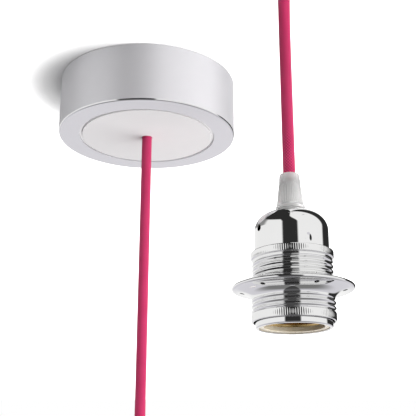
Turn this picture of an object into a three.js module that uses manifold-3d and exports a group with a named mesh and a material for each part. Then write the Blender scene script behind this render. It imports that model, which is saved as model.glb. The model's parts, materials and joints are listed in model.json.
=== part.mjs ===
// Pendant cord set: a ceiling rose, a textile cord and a metal screw lampholder.
// Millimetres, +Z up. The origin is the middle of the rose's ceiling face, and all of it hangs below.
import * as THREE from "three";
import { mergeVertices } from "three/addons/utils/BufferGeometryUtils.js";
import Module from "manifold-3d";

const wasm = await Module();
wasm.setup();

// Fits
const fit = 0.3; // round a curved, turned or cut neighbour
const seat = 0.1; // between flat faces that rest on each other
const bite = 0.2; // how far two shapes of one piece run into each other
const past = 1; // how far a cutting shape runs past what it cuts

// Screwdriver slots
const slotHalf = 0.3;
const slotReach = 5;
const slotDeep = 0.7;

// Ceiling rose
const roseRadius = 55;
const roseHeight = 36;
const shellWall = 1.2;
const shellEdge = 1;
const discRadius = 40.7;
const discGap = 1.5;
const discEdge = 0.6;
const insertLip = 4.5;
const insertLipThickness = 1.6;

// Ceiling strap and the grub screws that hold the shell to it
const strapWidth = 14;
const strapThickness = 1.5;
const strapEar = 10;
const slotAt = 26;
const slotLength = 12;
const slotWidth = 5;
const grubRadius = 1.5;
const grubLength = 6;
const grubDrop = 5;
const grubSocket = 1.5;

// Cord clamp on the back of the insert
const clampBlock = 6;
const clampBar = 3.5;
const clampWidth = 22;
const clampHeight = 12;
const clampScrewRadius = 1.4;
const clampScrewSpacing = 15;
const clampHeadRadius = 2.8;
const clampHeadHeight = 2;
const sheathPast = 2;
const holderSheathPast = 1.5;

// Terminal block
const wayPitch = 9;
const wayRadius = 2.3;
const wayWall = 0.9;
const blockDepth = 16;
const blockHeight = 12;
const blockY = 24;
const terminalScrewRadius = 1.1;
const terminalScrewSpacing = 8;
const terminalScrewDrop = 2;
const wayInset = 1;
const wayDrop = 1;
const fixingScrewRadius = 1.1;
const fixingHeadRadius = 2.1;
const fixingHeadHeight = 1.4;

// Earth screw on the strap
const earthScrewX = 12;
const earthScrewRadius = 1.8;
const earthHeadRadius = 3.4;
const earthHeadHeight = 2.6;
const washerRadius = 4.2;
const washerThickness = 0.8;

// Cord and wires
const cordDiameter = 6.2;
const wireRadius = 0.8;
const wireSpread = 1.2;
const coilRadius = 31.5;
const coilTurns = 3.125;
const coilPitch = 6.5;
const coilDepth = 247;
const tieWidth = 6;
const tieThickness = 0.9;

// Ceiling clips
const clipWidth = 6;
const clipWall = 1.6;
const clipEar = 6;
const clipEarThickness = 2;
const clipScrewRadius = 1.2;
const clipHeadRadius = 2.3;
const clipHeadHeight = 1.1;

// Lampholder: heights are counted from the middle of the shade ring's rim
const holderX = 79;
const holderY = -93;
const holderDepth = 153.3;
const threadPitch = 2.5;
const threadDepth = 0.4;
const threadHidden = -4;
const barrelThreadRadius = 19.1;
const barrelWall = 1.1; // from the thread to the bore
const barrelBore = barrelThreadRadius - barrelWall;
const barrelStep = 0.5; // of the bore, for the porcelain's lip
const barrelTop = 17.6;
const barrelCollarRadius = 19.9;
const barrelCollarHeight = 3.4;
const barrelThreadTop = 13;
const barrelThreadBottom = -12.9;
const barrelBottom = -19;
const barrelLipInset = 0.8;
const barrelLipRadius = barrelThreadRadius - barrelLipInset;
const barrelLipTurn = 1.7;
const barrelLipBore = barrelLipRadius - barrelLipTurn;
const sheet = 0.6;
const ringSheet = 0.35;
const ringRimRadius = 29.3;
const ringRimRound = 0.95;
const ringTop = 3.2;
const ringFlatRadius = 23.2;
const ringNeck = -5.6;
const ringThreadBottom = -11.6;
const ringCollarRise = 0.95;
const ringCollarRadius = barrelThreadRadius + ringCollarRise;
const ringBottom = -16.2;
const ventCount = 6;
const ventRadius = 1.2;
const ventAt = 24.4;
const ventFirst = -70; // degrees from +X
const domeRadius = barrelBore;
const domeTop = 37.7;
const domeShoulder = 9.5;
const domeFlatRadius = 7.5;
const domeSeat = 15.1;
const sideHoleRadius = 1.1;
const sideHoleHeight = 28;
const sideHoleReach = 5;
const sideHoleAngle = -154; // degrees from +X

// Cord grip, its stem and the nut under the dome
const stemRadius = 4.9;
const stemFlangeRadius = 6.9;
const stemFlange = 1.5;
const stemBottom = 30;
const colletRadius = 4.35;
const colletTop = 54;
const gripBottomRadius = 7.3;
const gripCollar = 2.4;
const gripRibTop = 52.4;
const gripTop = 57.7;
const gripTopRadius = 4.95;
const gripWaistRadius = 6.5;
const gripBandRadius = 5.35;
const nutHeight = 3;
const nutRadius = 7;
const tagThickness = 0.4;
const tagRadius = 7.2;
const tagArm = 6;
const tagArmWidth = 3.2;

// Socket inside the lampholder
const lampThreadPitch = 3.63;
const lampThreadDepth = 0.5;
const socketWall = 0.5;
const guardWall = 3.2;
const socketOutside = barrelLipRadius - sheet - guardWall - 2 * fit;
const lampThreadRadius = socketOutside - lampThreadDepth - socketWall;
const socketTop = 10.8;
const socketBottom = -16;
const porcelainTop = 22;
const porcelainLip = 1.5;
const porcelainLipRest = 0.2; // past the barrel's bore
const porcelainLipRadius = barrelBore + porcelainLipRest;
const porcelainNeck = socketOutside + fit;
const guardTop = -8;
const contactPinRadius = 2.2;
const contactDrop = 4;
const tongueHalfLength = 3.6;
const tongueHalfWidth = 2.2;
const tongueThickness = 0.8;
const rivetRadius = 1.5;
const rivetHeadRadius = 2.6;
const rivetHead = 1;
const plateThickness = 0.8;
const plateHalf = 2.6;
const liveAt = 6.2;
const neutralInset = 4.4;
const neutralAt = domeRadius - neutralInset;
const neutralReach = 4.6; // from the neutral screw to the rivet
const terminalAt = neutralAt - neutralReach;
const socketHoleInset = 3.5; // from the rivet to the socket's middle hole
const socketHole = terminalAt - socketHoleInset;
const holderScrewRadius = 1.5;
const holderScrewHeight = 2;

// Colours and finishes, as three.js materials
const finishes = {
  chrome: [0xd9dadd, 0.08, 1],
  whitePlastic: [0xe6e4e2, 0.5, 0],
  clearPlastic: [0xe9ecec, 0.35, 0],
  steel: [0xb4b6b8, 0.4, 1],
  brass: [0xc8a24e, 0.3, 1],
  porcelain: [0xefe9da, 0.35, 0],
  textile: [0xc82d63, 0.85, 0],
  brownWire: [0x6a3a1e, 0.5, 0],
  blueWire: [0x2b55a8, 0.5, 0],
  earthWire: [0x6f9e2e, 0.5, 0],
  tie: [0xf1efec, 0.6, 0],
};

function finish(name) {
  const [color, roughness, metalness] = finishes[name];
  return new THREE.MeshStandardMaterial({ name, color, roughness, metalness });
}

// Shape helpers
function merged(geometry) {
  geometry.deleteAttribute("normal");
  geometry.deleteAttribute("uv");
  return mergeVertices(geometry, 1e-4);
}

function toSolid(geometry) {
  const clean = merged(geometry.clone());
  return new wasm.Manifold(
    new wasm.Mesh({
      numProp: 3,
      vertProperties: new Float32Array(clean.attributes.position.array),
      triVerts: new Uint32Array(clean.index.array),
    }),
  );
}

function fromSolid(solid) {
  const made = solid.getMesh();
  return new THREE.BufferGeometry()
    .setAttribute("position", new THREE.BufferAttribute(made.vertProperties, 3))
    .setIndex(new THREE.BufferAttribute(made.triVerts, 1));
}

function cut(geometry, ...tools) {
  return fromSolid(tools.reduce((a, b) => a.subtract(toSolid(b)), toSolid(geometry)));
}

function join(geometry, ...more) {
  return fromSolid(more.reduce((a, b) => a.add(toSolid(b)), toSolid(geometry)));
}

// A body turned about Z from a closed outline of [radius, height] points, which may touch the axis.
function turned(outline, sides = 40) {
  const area = outline.reduce((sum, [r, z], i) => {
    const [nextR, nextZ] = outline[(i + 1) % outline.length];
    return sum + r * nextZ - nextR * z;
  }, 0);
  const ordered = area > 0 ? outline : [...outline].reverse();
  const points = [...ordered, ordered[0]].map(([r, z]) => new THREE.Vector2(r, z));
  return merged(new THREE.LatheGeometry(points, sides).rotateX(Math.PI / 2));
}

function tube(outer, inner, low, high, sides = 24) {
  return turned([[inner, low], [outer, low], [outer, high], [inner, high]], sides);
}

function rod(radius, low, high, sides = 16) {
  return new THREE.CylinderGeometry(radius, radius, high - low, sides)
    .rotateX(Math.PI / 2)
    .translate(0, 0, (low + high) / 2);
}

function block(lowX, highX, lowY, highY, lowZ, highZ) {
  return new THREE.BoxGeometry(highX - lowX, highY - lowY, highZ - lowZ).translate(
    (lowX + highX) / 2,
    (lowY + highY) / 2,
    (lowZ + highZ) / 2,
  );
}

// A screwdriver slot across a round head, up from one level to another.
function driverSlot(from, to) {
  return block(-slotReach, slotReach, -slotHalf, slotHalf, from, to);
}

// Points of an elliptic arc in the [radius, height] plane, angles in degrees.
function arc(centreR, centreZ, alongR, alongZ, from, to, steps) {
  return Array.from({ length: steps + 1 }, (_, i) => {
    const angle = THREE.MathUtils.degToRad(from + ((to - from) * i) / steps);
    return [centreR + alongR * Math.cos(angle), centreZ + alongZ * Math.sin(angle)];
  });
}

// Rows of a plain cylinder, close enough to carry a thread.
function rows(radius, from, to, step) {
  const count = Math.max(1, Math.round(Math.abs(to - from) / step));
  return Array.from({ length: count + 1 }, (_, i) => [radius, from + ((to - from) * i) / count]);
}

// Rolls a screw thread into the rows whose radius lies between two limits.
function rolled(geometry, { pitch, depth, low, high, inside, outside }) {
  const at = geometry.attributes.position;
  const fade = pitch / 3;
  for (let i = 0; i < at.count; i++) {
    const [x, y, z] = [at.getX(i), at.getY(i), at.getZ(i)];
    const radius = Math.hypot(x, y);
    if (radius < inside || radius > outside) continue;
    const ends = Math.min((z - low) / fade, (high - z) / fade);
    const grown = depth * THREE.MathUtils.clamp(ends, 0, 1);
    const turn = (2 * Math.PI * z) / pitch - Math.atan2(y, x);
    const scale = 1 + (grown * Math.cos(turn)) / radius;
    at.setXY(i, x * scale, y * scale);
  }
  return geometry;
}

// A round bar along a smooth curve through points.
function bar(points, radius, sides, steps) {
  const section = new THREE.Shape(
    Array.from({ length: sides }, (_, i) => {
      const angle = (2 * Math.PI * i) / sides;
      return new THREE.Vector2(radius * Math.cos(angle), radius * Math.sin(angle));
    }),
  );
  const curve = new THREE.CatmullRomCurve3(points.map((p) => new THREE.Vector3(...p)));
  return merged(new THREE.ExtrudeGeometry(section, { extrudePath: curve, steps, bevelEnabled: false }));
}

const pendant = new THREE.Group();
const rose = new THREE.Group();
const cord = new THREE.Group();
const holder = new THREE.Group();
holder.position.set(holderX, holderY, -holderDepth);
pendant.add(rose, cord, holder);

function piece(group, name, geometry, material) {
  const mesh = new THREE.Mesh(geometry, finish(material));
  mesh.name = name;
  group.add(mesh);
  return mesh;
}

// Levels that several pieces share
const cordRadius = cordDiameter / 2;
const cordHole = cordRadius + fit;
const shellOpening = discRadius + discGap;
const lipUnder = -roseHeight + shellWall + seat;
const insertBack = lipUnder + insertLipThickness;
const clampMiddle = insertBack + clampHeight / 2;
const sheathEnd = insertBack + clampHeight + sheathPast;
const holeSides = 12;

// Rose shell: a drawn cup with a turned-in face
const shellBore = roseRadius - shellWall;
const grubHole = rod(grubRadius + fit, -roseRadius - 2, roseRadius + 2, holeSides)
  .rotateY(Math.PI / 2)
  .translate(0, 0, -grubDrop);
const shell = turned(
  [
    [shellOpening, -roseHeight + shellWall],
    [shellOpening, -roseHeight],
    ...arc(roseRadius - shellEdge, -roseHeight + shellEdge, shellEdge, shellEdge, -90, 0, 3),
    [roseRadius, 0],
    [shellBore, 0],
    [shellBore, -roseHeight + shellWall],
  ],
  64,
);
piece(rose, "rose_shell", cut(shell, grubHole), "chrome");

// White insert: the disc, the lip that rests on the shell's face, and the clamp's fixed block
const blockFace = cordRadius + fit;
const clampScrewHole = (y) =>
  rod(clampScrewRadius + fit, 0, clampBlock * 2, holeSides)
    .rotateY(Math.PI / 2)
    .translate(0, y, clampMiddle);
const insertPlate = turned(
  [
    [cordHole, insertBack],
    [cordHole, -roseHeight],
    ...arc(discRadius - discEdge, -roseHeight + discEdge, discEdge, discEdge, -90, 0, 2),
    [discRadius, lipUnder],
    [shellOpening + insertLip, lipUnder],
    [shellOpening + insertLip, insertBack],
  ],
  48,
);
const clampFixed = block(
  blockFace,
  blockFace + clampBlock,
  -clampWidth / 2,
  clampWidth / 2,
  insertBack - seat,
  insertBack + clampHeight,
);
const clampScrewY = [-clampScrewSpacing / 2, clampScrewSpacing / 2];
const fixingX = [-wayPitch / 2, wayPitch / 2];
const fixingDepth = insertLipThickness * 1.2;
const insert = cut(
  join(insertPlate, clampFixed),
  ...clampScrewY.map(clampScrewHole),
  ...fixingX.map((x) =>
    rod(fixingScrewRadius + fit, insertBack - fixingDepth, insertBack + past, holeSides)
      .translate(x, blockY, 0),
  ),
);
piece(rose, "rose_insert", insert, "whitePlastic");

// Loose clamp bar and its two screws, which pull it against the cord
const barFace = -(cordRadius + fit);
const barLow = insertBack + seat;
const barBlank = block(
  barFace - clampBar,
  barFace,
  -clampWidth / 2,
  clampWidth / 2,
  barLow,
  insertBack + clampHeight - seat,
);
const barHoles = clampScrewY.map((y) => clampScrewHole(y).translate(barFace - clampBar * 2, 0, 0));
piece(rose, "cord_clamp_bar", cut(barBlank, ...barHoles), "whitePlastic");
const clampReach = clampBar + 2 * cordHole + clampBlock - past;
clampScrewY.forEach((y, i) => {
  const head = rod(clampHeadRadius, -clampHeadHeight, 0, 16);
  const slot = driverSlot(-clampHeadHeight - past, -clampHeadHeight + slotDeep);
  const shank = rod(clampScrewRadius, -bite, clampReach, holeSides);
  piece(rose, "clamp_screw_" + (i + 1), join(cut(head, slot), shank), "steel")
    .rotateY(Math.PI / 2)
    .position.set(barFace - clampBar - fit, y, clampMiddle);
});

// Terminal block with three brass ways, their screws and its two fixing screws
const blockLow = insertBack + seat;
const blockHigh = blockLow + blockHeight;
const blockMiddle = blockLow + blockHeight / 2 - wayDrop;
const blockHalf = 1.5 * wayPitch;
const ways = [-wayPitch, 0, wayPitch];
const wayBore = wayRadius - wayWall;
const wellRadius = terminalScrewRadius + 2 * fit;
const screwPlaces = ways.flatMap((x) =>
  [-terminalScrewSpacing / 2, terminalScrewSpacing / 2].map((dy) => [x, blockY + dy]),
);
const wayHoles = ways.map((x) =>
  rod(wayRadius + fit, -blockDepth, blockDepth, holeSides)
    .rotateX(Math.PI / 2)
    .translate(x, blockY, blockMiddle),
);
const wells = screwPlaces.map(([x, y]) =>
  rod(wellRadius, blockMiddle, blockHigh + past, holeSides).translate(x, y, 0),
);
const fixings = fixingX.map((x) =>
  rod(fixingScrewRadius + fit, blockLow - past, blockHigh + past, holeSides).translate(x, blockY, 0),
);
const blockBody = block(
  -blockHalf,
  blockHalf,
  blockY - blockDepth / 2,
  blockY + blockDepth / 2,
  blockLow,
  blockHigh,
);
piece(rose, "terminal_block", cut(blockBody, ...wayHoles, ...wells, ...fixings), "whitePlastic");

const wayNames = ["live", "earth", "neutral"];
ways.forEach((x, i) => {
  const brass = tube(wayRadius, wayBore, wayInset - blockDepth / 2, blockDepth / 2 - wayInset, 16)
    .rotateX(Math.PI / 2)
    .translate(0, 0, blockMiddle);
  const taps = [-terminalScrewSpacing / 2, terminalScrewSpacing / 2].map((dy) =>
    rod(terminalScrewRadius + fit / 2, blockMiddle, blockMiddle + wayRadius + past, 8).translate(0, dy, 0),
  );
  piece(rose, "terminal_" + wayNames[i], cut(brass, ...taps), "brass").position.set(x, blockY, 0);
});
screwPlaces.forEach(([x, y], i) => {
  const low = blockMiddle + wayBore - 0.6;
  const high = blockHigh - terminalScrewDrop;
  const slot = driverSlot(high - slotDeep, high + past);
  const screw = cut(rod(terminalScrewRadius, low, high, 10), slot);
  piece(rose, "terminal_screw_" + (i + 1), screw, "steel").position.set(x, y, 0);
});
fixingX.forEach((x, i) => {
  const top = blockHigh + seat;
  const head = rod(fixingHeadRadius, top, top + fixingHeadHeight, holeSides);
  const slot = driverSlot(top + fixingHeadHeight - slotDeep, top + fixingHeadHeight + past);
  const shank = rod(fixingScrewRadius, insertBack - fixingDepth + fit, top + bite, holeSides);
  piece(rose, "block_screw_" + (i + 1), join(cut(head, slot), shank), "steel").position.set(x, blockY, 0);
});

// Ceiling strap: a flat bar with a slot each side of its middle and two ears turned down
const earOutside = Math.sqrt(shellBore ** 2 - (strapWidth / 2) ** 2) - fit;
const strapFlat = block(-earOutside, earOutside, -strapWidth / 2, strapWidth / 2, -strapThickness, 0);
const ears = [-1, 1].map((side) => {
  const [a, b] = [side * earOutside, side * (earOutside - strapThickness)];
  return block(Math.min(a, b), Math.max(a, b), -strapWidth / 2, strapWidth / 2, -strapEar, 0);
});
const slotEnd = (slotLength - slotWidth) / 2;
const slotLow = -strapThickness - past;
const slots = [-slotAt, slotAt].map((x) =>
  join(
    block(x - slotEnd, x + slotEnd, -slotWidth / 2, slotWidth / 2, slotLow, past),
    ...[-slotEnd, slotEnd].map((end) =>
      rod(slotWidth / 2, slotLow, past, holeSides).translate(x + end, 0, 0),
    ),
  ),
);
const earthHole = rod(earthScrewRadius + fit, slotLow, past, holeSides).translate(earthScrewX, 0, 0);
piece(rose, "ceiling_strap", cut(join(strapFlat, ...ears), ...slots, earthHole, grubHole), "steel");

// Grub screws through the shell into the ears
["left", "right"].forEach((side, i) => {
  const screw = rod(grubRadius, 0, grubLength, holeSides);
  const socket = rod(grubRadius * 0.5, grubLength - grubSocket, grubLength + past, 6);
  piece(rose, "grub_screw_" + side, cut(screw, socket), "steel")
    .rotateY((i ? 1 : -1) * (Math.PI / 2))
    .position.set((i ? 1 : -1) * (roseRadius - grubLength - fit), 0, -grubDrop);
});

// Earth screw and the washer under its head
const washerTop = -strapThickness - seat;
const washerLow = washerTop - washerThickness;
const washer = tube(washerRadius, earthScrewRadius + fit, washerLow, washerTop, 16);
piece(rose, "earth_washer", washer, "brass").position.x = earthScrewX;
const headTop = washerLow - seat;
const earthHead = rod(earthHeadRadius, headTop - earthHeadHeight, headTop, 16);
const earthSlot = driverSlot(headTop - earthHeadHeight - past, headTop - earthHeadHeight + slotDeep);
const earthShank = rod(earthScrewRadius, headTop - bite, -fit, holeSides);
const earthScrew = join(cut(earthHead, earthSlot), earthShank);
piece(rose, "earth_screw", earthScrew, "brass").position.x = earthScrewX;

// Inner wires of the rose: out of the sheath, over the clamp and down into their ways
const blockNear = blockY - blockDepth / 2;
const wireTop = sheathEnd + 5;
const wireKinds = ["brownWire", "earthWire", "blueWire"];
ways.forEach((x, i) => {
  const angle = Math.PI / 2 + ((1 - i) * 2 * Math.PI) / 3;
  const [startX, startY] = [wireSpread * Math.cos(angle), wireSpread * Math.sin(angle)];
  const route = [
    [startX, startY, sheathEnd + fit],
    [startX, startY, sheathEnd + 2.2],
    [startX + x * 0.2, startY + 2.2, wireTop],
    [x * 0.65, clampWidth / 2 - 4, wireTop + 1.5],
    [x * 0.95, blockNear - 2.6, wireTop - 3],
    [x, blockNear - 2.6, blockMiddle + 4.4],
    [x, blockNear - 0.6, blockMiddle + 0.6],
    [x, blockNear + 2, blockMiddle],
  ];
  piece(rose, "rose_wire_" + wayNames[i], bar(route, wireRadius, 6, 14), wireKinds[i]);
});
const blockFar = blockY + blockDepth / 2;
const linkEnd = headTop - earthHeadHeight / 2;
const earthLink = [
  [0, blockFar - 2, blockMiddle],
  [0, blockFar + 1.5, blockMiddle + 0.4],
  [1, blockFar + 3, blockMiddle + 5],
  [4, blockFar - 2, linkEnd - 3.2],
  [9, blockY - 4, linkEnd - 1.6],
  [earthScrewX, blockNear - 3, linkEnd - 0.4],
  [earthScrewX, earthHeadRadius + wireRadius + fit, linkEnd],
];
piece(rose, "earth_link", bar(earthLink, wireRadius, 6, 12), "earthWire");

// Cord from the clamp down to the coil
const cordSides = 8;
const coilThickness = cordDiameter + 0.5;
const coilOutside = coilRadius + coilThickness / 2;
const coilWidth = Math.floor(coilTurns) * coilPitch + cordDiameter + fit;
// How far above the coil's middle a straight cord still clears its outside
const coilReach = Math.sqrt(coilOutside ** 2 - (coilRadius - cordRadius) ** 2) + fit;
const dropEnd = -coilDepth + coilReach;
const drop = rod(cordRadius, dropEnd, sheathEnd, cordSides);
piece(cord, "cord_drop", drop, "textile");

// Coil of the spare length, its turns side by side along Y, and its two ties
const coilFront = cordRadius + fit / 2;
const coilMiddleY = coilFront - coilWidth / 2;
const corner = coilThickness * 0.3;
const [coilIn, coilHalf] = [coilRadius - coilThickness / 2, coilWidth / 2];
const coilOutline = [
  [coilIn + corner, -coilHalf],
  [coilOutside - corner, -coilHalf],
  [coilOutside, -coilHalf + corner],
  [coilOutside, coilHalf - corner],
  [coilOutside - corner, coilHalf],
  [coilIn + corner, coilHalf],
  [coilIn, coilHalf - corner],
  [coilIn, -coilHalf + corner],
];
piece(cord, "cord_coil", turned(coilOutline, 36).rotateX(Math.PI / 2), "textile")
  .position.set(coilRadius, coilMiddleY, -coilDepth);
const tieAngles = [75, 330];
tieAngles.forEach((angle, i) => {
  const [inX, inY] = [coilThickness / 2 + fit, coilWidth / 2 + fit];
  const [outX, outY] = [inX + tieThickness, inY + tieThickness];
  const outer = block(-outX, outX, -outY, outY, -tieWidth / 2, tieWidth / 2);
  const inner = block(-inX, inX, -inY, inY, -tieWidth, tieWidth);
  const tie = piece(cord, "coil_tie_" + (i + 1), cut(outer, inner), "tie");
  const turn = THREE.MathUtils.degToRad(angle);
  tie.rotation.y = -turn;
  tie.position.set(
    coilRadius + coilRadius * Math.cos(turn),
    coilMiddleY,
    -coilDepth + coilRadius * Math.sin(turn),
  );
});

// Cord from the coil, round below and beside, up to the ceiling clips and down to the lampholder
const swagRoute = [
  [23.9, -21.4, -284],
  [33, -26.5, -290.6],
  [46, -35.5, -295.8],
  [60, -47, -297.6],
  [75, -60, -295.2],
  [88, -71.5, -288.6],
  [100, -81.5, -278],
  [112.5, -92, -262],
  [123, -101, -244.5],
  [132, -109, -225.5],
  [142, -117, -199.5],
  [150.5, -124, -172.5],
  [158, -130, -145],
  [164.6, -135.5, -117],
  [170.6, -140, -89],
  [175.6, -144, -63],
  [178.8, -146.6, -44],
  [180.2, -148.4, -28.5],
  [177, -149.6, -16],
  [168.4, -150, -7],
  [156.5, -150, -3.7],
  [143, -150, -3.7],
  [129, -150, -3.7],
  [115, -150, -3.7],
  [102.5, -149.8, -3.7],
  [89.6, -146.4, -3.7],
  [81, -138.4, -3.7],
  [77.5, -131, -3.7],
  [76.7, -125, -3.7],
  [76.7, -119, -3.7],
  [77.2, -112.4, -4.5],
  [77.9, -104.4, -7.7],
  [78.6, -96.8, -16],
  [79, -93, -29],
];
const holderTop = -holderDepth + gripTop;
const holderSheathEnd = -holderDepth + stemBottom - holderSheathPast;
const riserRoute = [
  ...swagRoute,
  [holderX, holderY, (swagRoute.at(-1)[2] + holderTop) / 2 + 10],
  [holderX, holderY, holderTop + 12],
  [holderX, holderY, holderTop - 10],
  [holderX, holderY, holderSheathEnd],
];
piece(cord, "cord_riser", bar(riserRoute, cordRadius, cordSides, 60), "textile");

// Ceiling clips: a saddle over the cord with an ear and a screw each side
const saddleInside = cordRadius + fit;
const saddleOutside = saddleInside + clipWall;
const saddleDepth = 3.7;
const earHole = saddleOutside + clipEar / 2;
function saddle() {
  const shape = new THREE.Shape();
  shape.moveTo(-saddleOutside - clipEar, 0);
  shape.lineTo(-saddleOutside - clipEar, -clipEarThickness);
  shape.lineTo(-saddleOutside, -clipEarThickness);
  shape.lineTo(-saddleOutside, -saddleDepth);
  shape.absarc(0, -saddleDepth, saddleOutside, Math.PI, 2 * Math.PI, false);
  shape.lineTo(saddleOutside, -clipEarThickness);
  shape.lineTo(saddleOutside + clipEar, -clipEarThickness);
  shape.lineTo(saddleOutside + clipEar, 0);
  shape.lineTo(saddleInside, 0);
  shape.lineTo(saddleInside, -saddleDepth);
  shape.absarc(0, -saddleDepth, saddleInside, 2 * Math.PI, Math.PI, true);
  shape.lineTo(-saddleInside, 0);
  const made = new THREE.ExtrudeGeometry(shape, { depth: clipWidth, bevelEnabled: false, curveSegments: 8 });
  const upright = made.rotateX(Math.PI / 2).translate(0, clipWidth / 2, 0);
  const holes = [-earHole, earHole].map((x) =>
    rod(clipScrewRadius + fit, -clipEarThickness - 1, 1, holeSides).translate(x, 0, 0),
  );
  return cut(merged(upright), ...holes);
}
function clipScrew() {
  const high = -clipEarThickness - seat;
  const low = high - clipHeadHeight;
  const head = rod(clipHeadRadius, low, high, 16);
  const shank = rod(clipScrewRadius, high - bite, -fit, holeSides);
  return join(cut(head, driverSlot(low - past, low + slotDeep)), shank);
}
const clipPlaces = { far: [76.7, -122, 0], near: [141.5, -150, 90] };
Object.entries(clipPlaces).forEach(([name, [x, y, turn]]) => {
  const clip = new THREE.Group();
  clip.position.set(x, y, 0);
  clip.rotation.z = THREE.MathUtils.degToRad(turn);
  piece(clip, "ceiling_clip_" + name, saddle(), "whitePlastic");
  ["a", "b"].forEach((side, i) => {
    const screw = piece(clip, "clip_screw_" + name + "_" + side, clipScrew(), "steel");
    screw.position.x = i ? earHole : -earHole;
  });
  cord.add(clip);
});

// Lampholder barrel: knurled collar, rolled thread, turned-in mouth and an inner step
const threadStep = threadPitch / 4;
const holderSides = 28;
const collarLow = barrelTop - barrelCollarHeight;
const grooveRadius = barrelThreadRadius + 0.1;
// The thread is modelled where it shows, and below that the barrel is plain at the thread's root
const barrelRoot = barrelThreadRadius - threadDepth - 0.05;
const stepLevel = barrelThreadTop + 0.4;
const stepBore = barrelBore + barrelStep;
const collarBore = stepBore + 0.8;
const barrel = turned(
  [
    [domeRadius + fit, barrelTop],
    [domeRadius + fit, barrelTop - sheet],
    [collarBore, barrelTop - sheet],
    [collarBore, collarLow],
    [stepBore, collarLow - 0.4],
    [stepBore, stepLevel],
    [barrelBore, stepLevel],
    [barrelBore, barrelThreadBottom],
    [barrelLipRadius - sheet, barrelThreadBottom - 1.2],
    [barrelLipRadius - sheet, barrelBottom + sheet],
    [barrelLipBore, barrelBottom + sheet],
    [barrelLipBore, barrelBottom],
    ...arc(barrelLipRadius - 0.6, barrelBottom + 0.6, 0.6, 0.6, -90, 0, 2),
    [barrelLipRadius, barrelThreadBottom - 0.8],
    [barrelRoot, barrelThreadBottom],
    [barrelRoot, threadHidden - 0.6],
    ...rows(barrelThreadRadius, threadHidden, barrelThreadTop, threadStep),
    [grooveRadius, collarLow - 0.5],
    [barrelCollarRadius, collarLow],
    [barrelCollarRadius, barrelTop - 0.5],
    [barrelCollarRadius - 0.5, barrelTop],
  ],
  holderSides,
);
const barrelThread = {
  pitch: threadPitch,
  depth: threadDepth,
  low: threadHidden,
  high: barrelThreadTop,
  inside: barrelThreadRadius - 0.05,
  outside: barrelThreadRadius + 0.05,
};
piece(holder, "barrel", rolled(barrel, barrelThread), "chrome");

// Shade ring: one drawn ring, folded back on itself at the rim, with vents and a knurled collar
const ringInside = barrelRoot + fit;
const ringOutside = ringInside + threadDepth + ringSheet;
const ringTopBore = barrelThreadRadius + threadDepth + fit;
const rimAt = ringRimRadius - ringRimRound;
const flareDepth = -ringRimRound - ringNeck;
const collarInside = ringCollarRadius - 0.45;
const ringOutline = [
  [collarInside - 0.5, ringBottom],
  [ringCollarRadius - 0.45, ringBottom],
  [ringCollarRadius, ringBottom + 0.5],
  [ringCollarRadius, ringThreadBottom - 0.6],
  ...rows(ringOutside, ringThreadBottom, ringNeck, threadStep),
  ...arc(rimAt, ringNeck, -(rimAt - ringOutside), flareDepth, 9, 90, 6),
  ...arc(rimAt, 0, ringRimRound, ringRimRound, -60, 90, 4),
  [ringFlatRadius, ringTop],
  [ringTopBore, ringTop],
  [ringTopBore, ringTop - sheet],
  [ringFlatRadius - 0.1, ringTop - sheet],
  [rimAt - 0.1, ringRimRound - sheet],
  [rimAt - 0.1, -ringRimRound + sheet],
  ...arc(rimAt, ringNeck, -(rimAt - ringInside), flareDepth + sheet, 80, 9, 6),
  [ringInside, ringNeck],
  [ringInside, ringThreadBottom],
  [collarInside, ringThreadBottom - 0.6],
  [collarInside, ringBottom + 0.5],
  [collarInside - 0.5, ringBottom + 0.5],
];
const ringThread = {
  ...barrelThread,
  low: ringThreadBottom - 0.4,
  high: ringNeck + 0.4,
  inside: ringOutside - 0.05,
  outside: ringOutside + 0.05,
};
const vents = Array.from({ length: ventCount }, (_, i) => {
  const angle = THREE.MathUtils.degToRad(ventFirst + (360 * i) / ventCount);
  const [x, y] = [ventAt * Math.cos(angle), ventAt * Math.sin(angle)];
  return rod(ventRadius, ringNeck, ringTop + past, 8).translate(x, y, 0);
});
piece(holder, "shade_ring", cut(rolled(turned(ringOutline, holderSides), ringThread), ...vents), "chrome");

// Dome: a drawn cap with a hole for the stem and a small hole in its side
const shoulderRadius = domeRadius - domeFlatRadius;
const shoulderFoot = domeTop - domeShoulder;
const dome = turned(
  [
    [domeRadius - sheet, domeSeat],
    [domeRadius, domeSeat],
    ...arc(domeFlatRadius, shoulderFoot, shoulderRadius, domeShoulder, 0, 90, 7),
    [stemRadius + fit, domeTop],
    [stemRadius + fit, domeTop - sheet],
    ...arc(domeFlatRadius, shoulderFoot, shoulderRadius - sheet, domeShoulder - sheet, 90, 0, 6),
  ],
  40,
);
const sideHole = rod(sideHoleRadius, domeRadius - sideHoleReach, domeRadius + past, 10)
  .rotateY(Math.PI / 2)
  .rotateZ(THREE.MathUtils.degToRad(sideHoleAngle))
  .translate(0, 0, sideHoleHeight);
piece(holder, "dome_cap", cut(dome, sideHole), "chrome");

// Hollow stem of the cord grip: thread below, flange on the dome, collet above
const flangeLow = domeTop + seat;
const flangeHigh = flangeLow + stemFlange;
const stem = turned(
  [
    [cordHole, stemBottom],
    [stemRadius, stemBottom],
    [stemRadius, flangeLow],
    [stemFlangeRadius, flangeLow],
    [stemFlangeRadius, flangeHigh],
    [colletRadius, flangeHigh],
    [colletRadius - 0.4, colletTop],
    [cordHole, colletTop],
  ],
  24,
);
piece(holder, "grip_stem", stem, "clearPlastic");

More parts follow.
